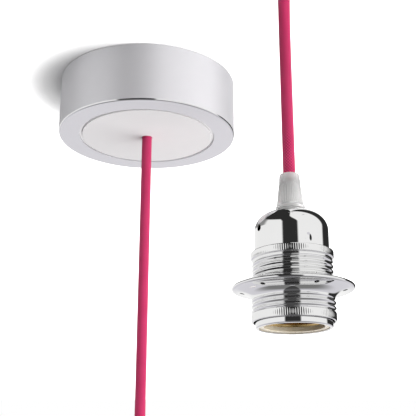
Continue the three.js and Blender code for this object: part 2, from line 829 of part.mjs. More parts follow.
// Cord grip: a tapered nut over the collet, with a foot collar, a ribbed middle and a plain band
const gripLow = flangeHigh + seat;
const gripRibLow = gripLow + gripCollar;
const gripBore = colletRadius + fit;
const grip = turned(
  [
    [gripBore, gripLow],
    [gripBottomRadius - 0.4, gripLow],
    [gripBottomRadius, gripLow + gripCollar / 2],
    [gripWaistRadius, gripRibLow],
    [gripBandRadius, gripRibTop],
    [gripTopRadius, gripTop - 0.4],
    [gripTopRadius - 0.4, gripTop],
    [cordHole, gripTop],
    [cordHole, colletTop + fit + 0.6],
    [gripBore, colletTop + fit],
  ],
  32,
);
piece(holder, "cord_grip", grip, "clearPlastic");

// Earth tag and the nut that pulls the stem's flange on to the dome
const tagHigh = domeTop - sheet - seat;
const tagLow = tagHigh - tagThickness;
const stemHole = rod(stemRadius + fit, tagLow - seat - nutHeight - past, tagHigh + past, 20);
const tagOutside = tagRadius + tagThickness;
const arm = block(tagRadius - fit, tagOutside, -tagArmWidth / 2, tagArmWidth / 2, tagLow - tagArm, tagHigh);
piece(holder, "earth_tag", cut(join(rod(tagRadius, tagLow, tagHigh, 24), arm), stemHole), "brass");
const nutHigh = tagLow - seat;
const nut = rod(nutRadius, nutHigh - nutHeight, nutHigh, 6);
piece(holder, "stem_nut", cut(nut, stemHole), "steel");

// Porcelain body, resting by its lip on the barrel's inner step
const lipLow = stepLevel + seat;
const porcelainLow = socketTop + seat;
const porcelainRadius = domeRadius - sheet - fit;
const pinHole = rod(contactPinRadius + fit, porcelainLow - past, porcelainTop + past, 16);
const rivetX = [-terminalAt, terminalAt];
const rivetHoles = rivetX.map((x) =>
  rod(rivetRadius + fit, porcelainLow - past, porcelainTop + past, holeSides).translate(x, 0, 0),
);
const porcelain = turned([
  [0, porcelainLow],
  [porcelainNeck, porcelainLow],
  [porcelainNeck, lipLow],
  [porcelainLipRadius, lipLow],
  [porcelainLipRadius, lipLow + porcelainLip - seat],
  [porcelainRadius, lipLow + porcelainLip - seat],
  [porcelainRadius, porcelainTop],
  [0, porcelainTop],
]);
piece(holder, "porcelain_body", cut(porcelain, pinHole, ...rivetHoles), "porcelain");

// Threaded socket shell, a cup that the rivets hold under the porcelain
const socketCup = turned(
  [
    [socketHole, socketTop - socketWall],
    [socketHole, socketTop],
    [socketOutside, socketTop],
    [socketOutside, socketBottom],
    [socketOutside - socketWall, socketBottom],
    ...rows(lampThreadRadius, socketBottom + 0.6, socketTop - socketWall - 1, lampThreadPitch / 3),
    [lampThreadRadius, socketTop - socketWall],
  ],
  28,
);
const lampThread = {
  pitch: lampThreadPitch,
  depth: lampThreadDepth,
  low: socketBottom + 0.6,
  high: socketTop - socketWall - 1,
  inside: lampThreadRadius - 0.05,
  outside: lampThreadRadius + 0.05,
};
piece(holder, "socket_shell", cut(rolled(socketCup, lampThread), ...rivetHoles), "brass");

// Porcelain guard ring between the socket shell and the barrel's mouth
const guardLow = barrelBottom + sheet + seat;
const guardInside = socketOutside + fit;
piece(holder, "guard_ring", tube(guardInside + guardWall, guardInside, guardLow, guardTop, 40), "porcelain");

// Centre contact: a pin through the porcelain with a sprung tongue below and a plate on top
const plateLow = porcelainTop + seat;
const plateHigh = plateLow + plateThickness;
const pin = rod(contactPinRadius, socketTop - contactDrop, plateLow + bite, 16);
const livePlate = block(-plateHalf, plateHalf, -liveAt - plateHalf, contactPinRadius, plateLow, plateHigh);
const tongueLow = socketTop - contactDrop - tongueThickness + bite;
const tongueHigh = tongueLow + tongueThickness;
const tongue = block(
  -tongueHalfLength, tongueHalfLength, -tongueHalfWidth, tongueHalfWidth, tongueLow, tongueHigh,
);
piece(holder, "centre_contact", join(pin, livePlate, tongue), "brass");

// Neutral plate and the two rivets that hold the socket shell up
const neutralPlate = block(
  terminalAt - plateHalf, neutralAt + plateHalf, -plateHalf, plateHalf, plateLow, plateHigh,
);
const neutralHole = rod(rivetRadius + fit, plateLow - past, plateHigh + past, holeSides)
  .translate(terminalAt, 0, 0);
piece(holder, "neutral_plate", cut(neutralPlate, neutralHole), "brass");
rivetX.forEach((x, i) => {
  const low = socketTop - socketWall - seat;
  const high = (i ? plateHigh : porcelainTop) + seat;
  const rivet = join(
    rod(rivetRadius, low - bite, high + bite, holeSides),
    rod(rivetHeadRadius, low - rivetHead, low, 16),
    rod(rivetHeadRadius, high, high + rivetHead, 16),
  );
  piece(holder, "socket_rivet_" + (i + 1), rivet, "brass").position.x = x;
});

// Terminal screws on the two plates
const screwSpots = { live: [0, -liveAt], neutral: [neutralAt, 0] };
Object.entries(screwSpots).forEach(([name, [x, y]]) => {
  const low = plateHigh + seat;
  const top = low + holderScrewHeight;
  const screw = cut(rod(holderScrewRadius, low, top, 14), driverSlot(top - slotDeep, top + past));
  piece(holder, "holder_screw_" + name, screw, "steel").position.set(x, y, 0);
});

// Inner wires of the lampholder: live and neutral to their screws, earth to the tag
const wireStart = stemBottom - holderSheathPast - 2 * fit;
const wireLow = plateHigh + seat + wireRadius + 0.2;
const besideScrew = holderScrewRadius + wireRadius + fit;
const holderWires = {
  live: [
    [-wireSpread, -0.4, wireStart],
    [-wireSpread - 0.8, -1.4, wireStart - 1.4],
    [-besideScrew - 0.4, -liveAt + 1.8, wireLow + 1.2],
    [-besideScrew, -liveAt - 0.6, wireLow],
  ],
  neutral: [
    [wireSpread, -0.4, wireStart],
    [wireSpread + 1.2, -1.2, wireStart - 1.2],
    [neutralAt - 5, -besideScrew - 1, wireLow + 2.4],
    [neutralAt - 0.5, -besideScrew, wireLow],
  ],
  earth: [
    [0, wireSpread * 1.3, wireStart],
    [1.2, 2.2, wireStart - 1.4],
    [5.2, 1.6, wireStart - 1.8],
    [tagRadius, 0.4, tagLow - tagArm - 2],
    [tagRadius + 0.2, 0, tagLow - tagArm - fit],
  ],
};
const wireColours = { live: "brownWire", neutral: "blueWire", earth: "earthWire" };
Object.entries(holderWires).forEach(([name, route]) => {
  piece(holder, "holder_wire_" + name, bar(route, wireRadius, 6, 12), wireColours[name]);
});

export default pendant;
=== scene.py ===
import json
import math

import bmesh
import bpy
import numpy as np
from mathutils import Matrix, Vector


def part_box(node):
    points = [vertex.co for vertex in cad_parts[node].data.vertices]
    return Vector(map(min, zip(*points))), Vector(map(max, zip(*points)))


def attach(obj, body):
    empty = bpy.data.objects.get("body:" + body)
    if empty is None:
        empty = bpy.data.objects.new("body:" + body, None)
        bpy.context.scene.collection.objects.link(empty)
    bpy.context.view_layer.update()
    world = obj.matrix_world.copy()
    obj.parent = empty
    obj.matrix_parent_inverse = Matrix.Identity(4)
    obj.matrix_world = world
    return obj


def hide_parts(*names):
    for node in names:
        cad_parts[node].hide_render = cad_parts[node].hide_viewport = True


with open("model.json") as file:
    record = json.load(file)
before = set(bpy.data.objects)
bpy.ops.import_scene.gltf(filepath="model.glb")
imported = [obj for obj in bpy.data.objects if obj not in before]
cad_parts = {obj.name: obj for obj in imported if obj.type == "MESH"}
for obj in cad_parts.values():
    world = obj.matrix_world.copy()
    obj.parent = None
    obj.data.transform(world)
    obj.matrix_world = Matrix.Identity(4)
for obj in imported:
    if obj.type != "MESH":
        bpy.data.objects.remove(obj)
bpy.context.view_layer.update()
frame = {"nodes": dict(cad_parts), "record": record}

# All sizes are in metres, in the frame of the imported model. MM turns millimetres into them.
MM = 0.001
BODY = "root"


def centre_of(node):
    low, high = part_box(node)
    return [(a + b) / 2 for a, b in zip(low, high)]


# Camera: below the rose, looking up, between the angles of the photograph's two views
CAMERA_AT = (38.52 * MM, -466.74 * MM, -234.26 * MM)
CAMERA_PITCH = 18  # degrees
FOCAL_PIXELS = 800
FRAME_PIXELS = 416
SENSOR = 36


def make_camera():
    data = bpy.data.cameras.new("camera")
    data.sensor_width = SENSOR
    data.lens = FOCAL_PIXELS / FRAME_PIXELS * SENSOR
    data.clip_start = 0.01
    camera = bpy.data.objects.new("camera", data)
    camera.location = CAMERA_AT
    camera.rotation_euler = (math.radians(90 + CAMERA_PITCH), 0, 0)
    bpy.context.scene.collection.objects.link(camera)
    bpy.context.scene.camera = camera


make_camera()

# Cord: its size and its route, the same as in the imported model
CORD_RADIUS = 3.1 * MM
CORD_START = (0, 0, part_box("cord_drop")[1][2])
COIL_RADIUS = 31.5 * MM
COIL_TURNS = 3.125
COIL_PITCH = 6.5 * MM
COIL_DEPTH = 247 * MM
COIL_STEP = 4  # degrees
SWAG = [
    (23.9, -21.4, -284), (33, -26.5, -290.6), (46, -35.5, -295.8), (60, -47, -297.6),
    (75, -60, -295.2), (88, -71.5, -288.6), (100, -81.5, -278), (112.5, -92, -262),
    (123, -101, -244.5), (132, -109, -225.5), (142, -117, -199.5), (150.5, -124, -172.5),
    (158, -130, -145), (164.6, -135.5, -117), (170.6, -140, -89), (175.6, -144, -63),
    (178.8, -146.6, -44), (180.2, -148.4, -28.5), (177, -149.6, -16), (168.4, -150, -7),
    (156.5, -150, -3.7), (143, -150, -3.7), (129, -150, -3.7), (115, -150, -3.7),
    (102.5, -149.8, -3.7), (89.6, -146.4, -3.7), (81, -138.4, -3.7), (77.5, -131, -3.7),
    (76.7, -125, -3.7), (76.7, -119, -3.7), (77.2, -112.4, -4.5), (77.9, -104.4, -7.7),
    (78.6, -96.8, -16), (79, -93, -29), (79, -93, -52), (79, -93, -83.6),
    (79, -93, -105.6), (79, -93, -124.8),
]


CURVE_SAMPLES = 10  # between two points of the list


def smooth_curve(points):
    """A centripetal Catmull-Rom curve through points, as an array of closely spaced points."""
    knots = np.array(points, float)
    ends = [2 * knots[0] - knots[1], 2 * knots[-1] - knots[-2]]
    knots = np.vstack([ends[0], knots, ends[1]])
    out = []
    for i in range(1, len(knots) - 2):
        four = knots[i - 1 : i + 3]
        gaps = np.sqrt(np.linalg.norm(np.diff(four, axis=0), axis=1))
        t = np.concatenate([[0], np.cumsum(gaps)])
        for u in np.linspace(t[1], t[2], CURVE_SAMPLES, endpoint=False):
            a = [
                (t[k + 1] - u) / (t[k + 1] - t[k]) * four[k] + (u - t[k]) / (t[k + 1] - t[k]) * four[k + 1]
                for k in range(3)
            ]
            b = [
                (t[k + 2] - u) / (t[k + 2] - t[k]) * a[k] + (u - t[k]) / (t[k + 2] - t[k]) * a[k + 1]
                for k in range(2)
            ]
            out.append((t[2] - u) / (t[2] - t[1]) * b[0] + (u - t[1]) / (t[2] - t[1]) * b[1])
    out.append(knots[-2])
    return np.array(out)


def cord_route():
    """The whole cord's centre line: straight down, round the coil, and up and over to the lampholder."""
    drop = [(0, 0, z) for z in np.linspace(CORD_START[2], -COIL_DEPTH, 60, endpoint=False)]
    angles = np.arange(180, 180 + 360 * COIL_TURNS + 0.1, COIL_STEP)
    coil = [
        (
            COIL_RADIUS * (1 + math.cos(math.radians(a))),
            -COIL_PITCH * (a - 180) / 360,
            -COIL_DEPTH + COIL_RADIUS * math.sin(math.radians(a)),
        )
        for a in angles
    ]
    rise = smooth_curve([coil[-2], coil[-1]] + [(x * MM, y * MM, z * MM) for x, y, z in SWAG])
    return np.vstack([drop, coil[:-2], rise])


def lengths_along(points):
    return np.concatenate([[0], np.cumsum(np.linalg.norm(np.diff(points, axis=0), axis=1))])


route = cord_route()
route_lengths = lengths_along(route)
cord_length = float(route_lengths[-1])


# Materials
def node_tree(name):
    made = bpy.data.materials.new(name)
    made.use_nodes = True
    tree = made.node_tree
    tree.nodes.clear()
    out = tree.nodes.new("ShaderNodeOutputMaterial")
    shader = tree.nodes.new("ShaderNodeBsdfPrincipled")
    tree.links.new(shader.outputs[0], out.inputs[0])
    return made, tree, shader


def math_node(tree, operation, a, b=None, c=None):
    node = tree.nodes.new("ShaderNodeMath")
    node.operation = operation
    for i, value in enumerate((a, b, c)):
        if value is None:
            continue
        if isinstance(value, (int, float)):
            node.inputs[i].default_value = value
        else:
            tree.links.new(value, node.inputs[i])
    return node.outputs[0]


def span(tree, value, low, high, to_low=0.0, to_high=1.0, smooth=True):
    node = tree.nodes.new("ShaderNodeMapRange")
    node.interpolation_type = "SMOOTHSTEP" if smooth else "LINEAR"
    tree.links.new(value, node.inputs["Value"])
    for name, number in (("From Min", low), ("From Max", high), ("To Min", to_low), ("To Max", to_high)):
        node.inputs[name].default_value = number
    return node.outputs["Result"]


def mix_colour(tree, factor, a, b, blend="MIX"):
    node = tree.nodes.new("ShaderNodeMix")
    node.data_type = "RGBA"
    node.blend_type = blend
    for socket, value in ((node.inputs[0], factor), (node.inputs[6], a), (node.inputs[7], b)):
        if isinstance(value, (int, float)):
            socket.default_value = value
        elif isinstance(value, tuple):
            socket.default_value = (*value, 1)
        else:
            tree.links.new(value, socket)
    return node.outputs[2]


def noise(tree, scale, detail=4, stretch=(1, 1, 1)):
    """Noise in the object's own space. scale is in cells per metre."""
    place = tree.nodes.new("ShaderNodeTexCoord")
    mapping = tree.nodes.new("ShaderNodeMapping")
    mapping.inputs["Scale"].default_value = stretch
    tree.links.new(place.outputs["Object"], mapping.inputs["Vector"])
    node = tree.nodes.new("ShaderNodeTexNoise")
    node.inputs["Scale"].default_value = scale
    node.inputs["Detail"].default_value = detail
    node.inputs["Roughness"].default_value = 0.5
    tree.links.new(mapping.outputs[0], node.inputs["Vector"])
    return node.outputs["Fac"]


def bump(tree, shader, height, distance, strength=1.0):
    node = tree.nodes.new("ShaderNodeBump")
    node.inputs["Distance"].default_value = distance
    node.inputs["Strength"].default_value = strength
    tree.links.new(height, node.inputs["Height"])
    tree.links.new(node.outputs[0], shader.inputs["Normal"])


def chrome(name, colour, roughness, spread, waviness, metallic=1.0):
    """Bright plating: faint cloudiness in its gloss, hair scratches and the slight wave of drawn sheet."""
    made, tree, shader = node_tree(name)
    cloud = noise(tree, 90, 3)
    hairs = noise(tree, 1800, 3, (1, 1, 0.04))
    tint = span(tree, cloud, 0.3, 0.7, 0.985, 1.0)
    base = mix_colour(tree, 1.0, colour, tint, "MULTIPLY")
    tree.links.new(base, shader.inputs["Base Color"])
    shader.inputs["Metallic"].default_value = metallic
    mixed = math_node(tree, "MULTIPLY_ADD", hairs, 0.4, math_node(tree, "MULTIPLY", cloud, 0.6))
    tree.links.new(span(tree, mixed, 0.3, 0.75, roughness, roughness + spread), shader.inputs["Roughness"])
    wave = math_node(tree, "MULTIPLY_ADD", hairs, 0.02, noise(tree, 60, 1))
    bump(tree, shader, wave, waviness)
    return made


SCATTER = 9 * MM  # how far light spreads inside the frosted plastic


def plastic(name, colour, roughness, grain, transmission=0.0):
    """Moulded plastic: a fine grain, with a slightly uneven tone."""
    made, tree, shader = node_tree(name)
    cloud = noise(tree, 60, 2)
    fine = noise(tree, 3200, 4)
    darker = tuple(c * 0.985 for c in colour)
    tone = mix_colour(tree, span(tree, cloud, 0.35, 0.65), darker, colour)
    tree.links.new(tone, shader.inputs["Base Color"])
    tree.links.new(span(tree, fine, 0.3, 0.7, roughness - 0.05, roughness + 0.08), shader.inputs["Roughness"])
    shader.inputs["IOR"].default_value = 1.49
    shader.inputs["Transmission Weight"].default_value = transmission
    if transmission:
        shader.inputs["Subsurface Weight"].default_value = 1
        shader.inputs["Subsurface Radius"].default_value = (1, 1, 1)
        shader.inputs["Subsurface Scale"].default_value = SCATTER
    bump(tree, shader, fine, grain)
    return made


def metal(name, colour, roughness, stretch=(1, 1, 1)):
    """Plain metal of a small fitting, with fine drawn marks and a slight tarnish."""
    made, tree, shader = node_tree(name)
    marks = noise(tree, 1500, 4, stretch)
    cloud = noise(tree, 200, 4)
    duller = tuple(c * 0.72 for c in colour)
    tone = mix_colour(tree, span(tree, cloud, 0.3, 0.62), duller, colour)
    tree.links.new(tone, shader.inputs["Base Color"])
    shader.inputs["Metallic"].default_value = 1
    tree.links.new(span(tree, marks, 0.3, 0.7, roughness, roughness + 0.15), shader.inputs["Roughness"])
    bump(tree, shader, marks, 0.02 * MM)
    return made


def porcelain(name, colour):
    made, tree, shader = node_tree(name)
    cloud = noise(tree, 250, 5)
    warm = tuple(c * f for c, f in zip(colour, (0.93, 0.9, 0.84)))
    tree.links.new(mix_colour(tree, span(tree, cloud, 0.3, 0.7), warm, colour), shader.inputs["Base Color"])
    tree.links.new(span(tree, noise(tree, 700, 3), 0.3, 0.7, 0.18, 0.36), shader.inputs["Roughness"])
    shader.inputs["Coat Weight"].default_value = 0.3
    bump(tree, shader, cloud, 0.04 * MM)
    return made


# Braid: strands run both ways round the cord and pass over and under each other, and the low places between
# them are painted dark as shade
BRAID_STRANDS = 12
BRAID_PITCH = 1.6 * MM
PINK = (0.9, 0.05, 0.2)
PINK_CREVICE_SHADE = (0.16, 0.003, 0.03)


def textile(name):
    made, tree, shader = node_tree(name)
    uv = tree.nodes.new("ShaderNodeUVMap")
    uv.uv_map = "UVMap"
    parts = tree.nodes.new("ShaderNodeSeparateXYZ")
    tree.links.new(uv.outputs[0], parts.inputs[0])
    around = math_node(tree, "MULTIPLY", parts.outputs[0], BRAID_STRANDS)
    along = math_node(tree, "MULTIPLY", parts.outputs[1], 1.0 / BRAID_PITCH)
    one_way = math_node(tree, "ADD", around, along)
    other_way = math_node(tree, "SUBTRACT", around, along)
    turns = math_node(tree, "ADD", math_node(tree, "FLOOR", one_way), math_node(tree, "FLOOR", other_way))
    upper = math_node(tree, "FLOORED_MODULO", turns, 2.0)
    humps = [
        math_node(tree, "SINE", math_node(tree, "MULTIPLY", math_node(tree, "FRACT", way), math.pi))
        for way in (one_way, other_way)
    ]
    difference = math_node(tree, "SUBTRACT", humps[1], humps[0])
    height = math_node(tree, "MULTIPLY_ADD", difference, upper, humps[0])
    fibres = noise(tree, 5200, 3)
    tone = noise(tree, 160, 3)
    raised = math_node(tree, "MULTIPLY_ADD", fibres, 0.35, height)
    # Painted shade: the braid's low places and crevices take the deep pink, as if in shadow
    colour = mix_colour(tree, span(tree, raised, 0.55, 1.15), PINK_CREVICE_SHADE, PINK)
    lively = mix_colour(tree, span(tree, tone, 0.3, 0.7, 0.0, 0.12), colour, (0.85, 0.09, 0.26))
    tree.links.new(lively, shader.inputs["Base Color"])
    tree.links.new(span(tree, fibres, 0.2, 0.8, 0.5, 0.68), shader.inputs["Roughness"])
    shader.inputs["Specular IOR Level"].default_value = 0.35
    shader.inputs["Sheen Weight"].default_value = 0.12
    shader.inputs["Sheen Roughness"].default_value = 0.4
    shader.inputs["Sheen Tint"].default_value = (1, 0.55, 0.7, 1)
    bump(tree, shader, raised, 0.12 * MM, 0.8)
    return made


def earth_cover(name):
    """Green cover of a wire with yellow streaks along it."""
    made, tree, shader = node_tree(name)
    stripe = noise(tree, 350, 1, (1, 1, 0.2))
    colour = mix_colour(tree, span(tree, stripe, 0.47, 0.53), (0.1, 0.33, 0.05), (0.8, 0.68, 0.05))
    tree.links.new(colour, shader.inputs["Base Color"])
    tree.links.new(span(tree, noise(tree, 900, 2), 0.3, 0.7, 0.32, 0.42), shader.inputs["Roughness"])
    bump(tree, shader, noise(tree, 2000, 2), 0.02 * MM)
    return made


MATERIALS = {
    "polished_chrome": chrome("polished_chrome", (0.82, 0.82, 0.815), 0.03, 0.04, 0.02 * MM),
    "satin_chrome": chrome("satin_chrome", (0.77, 0.765, 0.79), 0.4, 0.05, 0.002 * MM, 0.4),
    "white_plastic": plastic("white_plastic", (0.8, 0.79, 0.795), 0.5, 0.004 * MM),
    "clear_plastic": plastic("clear_plastic", (0.92, 0.92, 0.905), 0.45, 0.004 * MM, 0.35),
    "zinc_steel": metal("zinc_steel", (0.62, 0.63, 0.65), 0.28, (1, 0.1, 1)),
    "plain_brass": metal("plain_brass", (0.78, 0.56, 0.24), 0.22),
    "porcelain": porcelain("porcelain", (0.86, 0.8, 0.66)),
    "pink_textile": textile("pink_textile"),
    "white_tie": plastic("white_tie", (0.86, 0.85, 0.84), 0.42, 0.03 * MM),
    "brown_wire": plastic("brown_wire", (0.13, 0.045, 0.02), 0.35, 0.01 * MM),
    "blue_wire": plastic("blue_wire", (0.02, 0.09, 0.42), 0.35, 0.01 * MM),
    "earth_wire": earth_cover("earth_wire"),
}
SLOT_OF = {part["node"]: part["material_slot"] for part in frame["record"]["subparts"]}


# Making pieces
def new_piece(name, vertices, faces, uvs, nodes, material=None):
    """A mesh piece that stands for CAD nodes, rides on the body and takes the first node's slot."""
    mesh = bpy.data.meshes.new(name)
    mesh.from_pydata([tuple(v) for v in vertices], [], faces)
    layer = mesh.uv_layers.new(name="UVMap")
    layer.data.foreach_set("uv", np.asarray(uvs, dtype=np.float32).ravel())
    mesh.update()
    piece = bpy.data.objects.new(name, mesh)
    bpy.context.scene.collection.objects.link(piece)
    finish_piece(piece, nodes, material)
    return piece


def finish_piece(piece, nodes, material=None):
    slot = SLOT_OF[nodes[0]]
    piece.data.materials.clear()
    piece.data.materials.append(MATERIALS[material or slot])
    piece.data.polygons.foreach_set("use_smooth", [True] * len(piece.data.polygons))
    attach(piece, BODY)
    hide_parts(*nodes)


def weigh_normals(piece):
    made = piece.modifiers.new("normals", "WEIGHTED_NORMAL")
    made.keep_sharp = True


def grid_faces(rows, columns, close_rows):
    """Faces and their corner places of a grid that closes on itself round its columns, and maybe its rows."""
    faces, corners = [], []
    for i in range(rows if close_rows else rows - 1):
        for j in range(columns):
            quad = [(i, j), (i, j + 1), (i + 1, j + 1), (i + 1, j)]
            faces.append([(a % rows) * columns + b % columns for a, b in quad])
            corners.extend(quad)
    return faces, corners


NEARLY_STRAIGHT = 86  # degrees, half the corner
CORNER_ROOM = 0.45  # of the shorter side


def rounded(profile, radius, steps=4):
    """The closed profile with each corner rounded. A point is (r, z) or (r, z, its own radius)."""
    points = [np.array(p[:2], float) for p in profile]
    radii = [p[2] if len(p) > 2 else radius for p in profile]
    out = []
    count = len(points)
    for i, (corner, size) in enumerate(zip(points, radii)):
        back, ahead = points[i - 1] - corner, points[(i + 1) % count] - corner
        room = CORNER_ROOM * min(np.linalg.norm(back), np.linalg.norm(ahead))
        back, ahead = back / np.linalg.norm(back), ahead / np.linalg.norm(ahead)
        half = math.acos(float(np.clip(back @ ahead, -1, 1))) / 2
        if size <= 0 or half > math.radians(NEARLY_STRAIGHT):
            out.append(corner)
            continue
        reach = min(size / math.tan(half), room)
        a, b = corner + back * reach, corner + ahead * reach
        for k in range(steps + 1):
            t = k / steps
            out.append((1 - t) ** 2 * a + 2 * t * (1 - t) * corner + t * t * b)
    return np.array(out)


def dense(profile, step):
    """The closed profile with extra points so that none are further apart than step."""
    out = []
    for a, b in zip(profile, np.roll(profile, -1, axis=0)):
        count = max(1, int(math.ceil(np.linalg.norm(b - a) / step)))
        out.extend(a + (b - a) * k / count for k in range(count))
    return np.array(out)


def turned(name, profile, nodes, centre, sides, shape=None, material=None, step=None):
    """A piece turned about a vertical axis at centre, from a closed profile in millimetres.
    shape takes the radius, height and angle of every point and gives the new radius."""
    profile = np.asarray(profile)
    area = np.sum(profile[:, 0] * np.roll(profile[:, 1], -1) - np.roll(profile[:, 0], -1) * profile[:, 1])
    if area < 0:
        profile = profile[::-1]
    if step:
        profile = dense(profile, step)
    angles = np.arange(sides) * 2 * math.pi / sides
    radius = np.repeat(profile[:, :1], sides, axis=1)
    height = np.repeat(profile[:, 1:], sides, axis=1)
    angle = np.repeat(angles[None, :], len(profile), axis=0)
    if shape:
        radius = shape(radius, height, angle)
    vertices = np.stack(
        [
            centre[0] + MM * radius * np.cos(angle),
            centre[1] + MM * radius * np.sin(angle),
            centre[2] + MM * height,
        ],
        axis=-1,
    ).reshape(-1, 3)
    faces, corners = grid_faces(len(profile), sides, True)
    along = lengths_along(np.vstack([profile, profile[:1]]))
    faces = [face[::-1] for face in faces]
    flipped = [corners[k * 4 + m] for k in range(len(faces)) for m in (3, 2, 1, 0)]
    uvs = [(j / sides, along[i] * MM) for i, j in flipped]
    piece = new_piece(name, vertices, faces, uvs, nodes, material)
    weigh_normals(piece)
    return piece


def bake_modifiers(piece):
    """The piece with its modifiers made part of its mesh."""
    graph = bpy.context.evaluated_depsgraph_get()
    mesh = bpy.data.meshes.new_from_object(piece.evaluated_get(graph))
    piece.modifiers.clear()
    piece.data = mesh


def drill(piece, holes):
    """Cuts round holes. A hole is a start, a direction, a length and a radius."""
    cutter_mesh = bmesh.new()
    for start, direction, length, radius in holes:
        turn = Vector(direction).to_track_quat("Z", "Y").to_matrix().to_4x4()
        turn.translation = Vector(start) + Vector(direction).normalized() * length / 2
        bmesh.ops.create_cone(
            cutter_mesh, cap_ends=True, segments=32, radius1=radius, radius2=radius, depth=length, matrix=turn
        )
    mesh = bpy.data.meshes.new("cutter")
    cutter_mesh.to_mesh(mesh)
    cutter_mesh.free()
    cutter = bpy.data.objects.new("cutter", mesh)
    bpy.context.scene.collection.objects.link(cutter)
    piece.modifiers.clear()
    cut = piece.modifiers.new("holes", "BOOLEAN")
    cut.operation = "DIFFERENCE"
    cut.solver = "EXACT"
    cut.object = cutter
    bake_modifiers(piece)
    bpy.data.objects.remove(cutter)
    piece.data.polygons.foreach_set("use_smooth", [True] * len(piece.data.polygons))
    piece.data.set_sharp_from_angle(angle=math.radians(50))
    weigh_normals(piece)


# Ceiling rose
ROSE_RADIUS = (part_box("rose_shell")[1][0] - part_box("rose_shell")[0][0]) / 2 / MM
ROSE_HEIGHT = -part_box("rose_shell")[0][2] / MM
SHELL_WALL = 1.2
SHELL_OPENING = 42.2
EDGE_ROUND = 1.1
CORD_HOLE = 3.4
GRUB_RADIUS = 1.8
GRUB_DROP = 5
GRUB_REACH = 5  # of the hole, on each side of the wall
SHELL_SIDES = 192


def rose_shell():
    low = -ROSE_HEIGHT
    profile = rounded(
        [
            (SHELL_OPENING, low + SHELL_WALL, 0.1),
            (SHELL_OPENING, low, 0.5),
            (ROSE_RADIUS, low, EDGE_ROUND),
            (ROSE_RADIUS, 0, 0.3),
            (ROSE_RADIUS - SHELL_WALL, 0, 0.3),
            (ROSE_RADIUS - SHELL_WALL, low + SHELL_WALL, 0.5),
        ],
        0.3,
        6,
    )
    shell = turned(
        "rose_shell_skin", profile, ["rose_shell"], (0, 0, 0), SHELL_SIDES, material="satin_chrome", step=4
    )
    start = ROSE_RADIUS - GRUB_REACH
    holes = [
        ((side * start * MM, 0, -GRUB_DROP * MM), (side, 0, 0), 2 * GRUB_REACH * MM, GRUB_RADIUS * MM)
        for side in (-1, 1)
    ]
    drill(shell, holes)
    shell.data.materials.append(MATERIALS["polished_chrome"])
    for face in shell.data.polygons:
        outward = math.hypot(face.center.x, face.center.y)
        if outward > (ROSE_RADIUS - EDGE_ROUND) * MM and face.center.z < (EDGE_ROUND - ROSE_HEIGHT) * MM:
            face.material_index = 1


SAME_PLACE = 1e-6
SAME_PLANE = 1  # degrees
BEVEL_ABOVE = 35  # degrees


def node_copy(name, node, flat=False):
    """A piece with the CAD node's own mesh, and with flat its level faces joined."""
    mesh = frame["nodes"][node].data.copy()
    mesh.name = name
    made = bmesh.new()
    made.from_mesh(mesh)
    bmesh.ops.remove_doubles(made, verts=made.verts, dist=SAME_PLACE)
    if flat:
        limit = math.radians(SAME_PLANE)
        bmesh.ops.dissolve_limit(made, angle_limit=limit, verts=made.verts, edges=made.edges)
    made.to_mesh(mesh)
    made.free()
    piece = bpy.data.objects.new(name, mesh)
    bpy.context.scene.collection.objects.link(piece)
    finish_piece(piece, [node])
    return piece


def bevelled(name, node, width, segments=2):
    """The CAD node's own form with its edges rounded."""
    piece = node_copy(name, node, flat=True)
    edge = piece.modifiers.new("edges", "BEVEL")
    edge.width = width * MM
    edge.segments = segments
    edge.limit_method = "ANGLE"
    edge.angle_limit = math.radians(BEVEL_ABOVE)
    edge.use_clamp_overlap = True
    weigh_normals(piece)


def smoothed(name, node):
    """A wire: the CAD node's bar made round."""
    piece = node_copy(name, node)
    rounder = piece.modifiers.new("round", "SUBSURF")
    rounder.levels = rounder.render_levels = 2


rose_shell()
bevelled("rose_disc", "rose_insert", 0.18)
for node in ("cord_clamp_bar", "terminal_block", "ceiling_strap"):
    bevelled(node + "_body", node, 0.25)

# Small fittings of metal: each keeps its form, with its edges broken
SMALL_METAL = [
    n
    for n in frame["nodes"]
    if SLOT_OF[n] in ("zinc_steel", "plain_brass") and n not in ("ceiling_strap", "socket_shell")
]
for node in sorted(SMALL_METAL):
    bevelled(node + "_part", node, 0.12)
for node in sorted(n for n in frame["nodes"] if SLOT_OF[n].endswith("_wire")):
    smoothed(node + "_cover", node)

# Lampholder. Heights are in millimetres from the middle of the shade ring's rim.
HOLDER = centre_of("barrel")
BARREL_FOOT = 19
HOLDER[2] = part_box("barrel")[0][2] + BARREL_FOOT * MM
SIDES = 480
THREAD_PITCH = 2.5
THREAD_DEPTH = 0.4
BARREL_THREAD_RADIUS = 19.1
BARREL_THREAD = (-4, 13)
RING_THREAD = (-12, -5.2)
RING_THREAD_RADIUS = 19.7
KNURLS = 120
KNURL_DEPTH = 0.2
BARREL_KNURL = (14.3, 17.2, 19.6)  # from, to and outside which radius
RING_KNURL = (-15.9, -12.4, 19.85)
ON_BASE = 0.06  # how close to the base cylinder a point takes the thread


def screw_thread(radius, height, angle, low, high, base, depth=THREAD_DEPTH, pitch=THREAD_PITCH):
    """Adds a rolled thread to the points that lie on the base cylinder between two heights."""
    near = np.abs(radius - base) < ON_BASE
    ends = np.clip(np.minimum(height - low, high - height) / (pitch / 3), 0, 1)
    wave = np.cos(2 * math.pi * height / pitch - angle)
    return radius + np.where(near, ends * depth * wave, 0)


def knurled(radius, height, angle, low, high, least):
    """Presses upright grooves into the points outside a radius, between two heights."""
    ends = np.clip(np.minimum(height - low, high - height) / 0.35, 0, 1)
    groove = (0.5 + 0.5 * np.cos(KNURLS * angle)) ** 0.7
    return radius - np.where(radius > least, ends * KNURL_DEPTH * groove, 0)


def ramp(radius, low, high, step=0.22):
    """Points up a plain cylinder, close enough to carry a thread."""
    count = max(2, int(abs(high - low) / step))
    return [(radius, z, 0) for z in np.linspace(low, high, count)]


